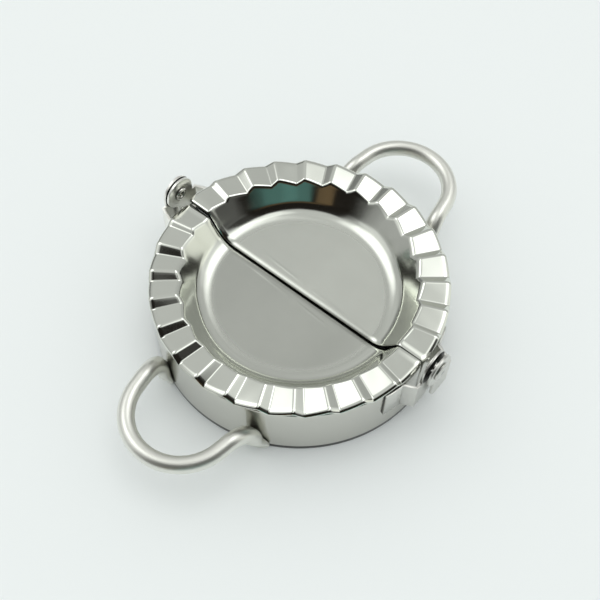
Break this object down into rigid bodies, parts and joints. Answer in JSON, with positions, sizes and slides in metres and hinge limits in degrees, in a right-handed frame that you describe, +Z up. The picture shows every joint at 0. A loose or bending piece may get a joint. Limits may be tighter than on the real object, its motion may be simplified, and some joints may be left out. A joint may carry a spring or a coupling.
{
  "type": "empanada press",
  "caption": "Round folding dough press: pleated dish halves on cutter skirts, hinged at the sides, each with a bent tube handle.",
  "frame": {"origin": "on the table, at the centre of the round base, with the press open and flat on its skirts", "axes": "+X along the hinge line, +Y from the near half to the far half, along the handles, +Z up out of the dish"},
  "size_m": [0.1084, 0.1496, 0.0319],
  "materials": {
    "dish": "polished pleats, brushed bowl floor",
    "skirt": "bright rolled sheet",
    "handle": "tumbled, polished",
    "strap": "bright rolled strip",
    "rivet": "formed head, polished"
  },
  "bodies": {
    "near_half": {"dish_a": "dish", "skirt_a": "skirt", "handle_a": "handle", "inner_strap_a": "strap", "outer_strap_a": "strap", "rivet_left": "rivet", "rivet_right": "rivet"},
    "far_half": {"dish_b": "dish", "skirt_b": "skirt", "handle_b": "handle", "inner_strap_b": "strap", "outer_strap_b": "strap"}
  },
  "joints": [
    {"name": "fold", "type": "hinge", "parent": "near_half", "child": "far_half", "pos_m": [0, 0, 0.0264], "axis": [1, 0, 0], "range_deg": [0, 180]}
  ]
}
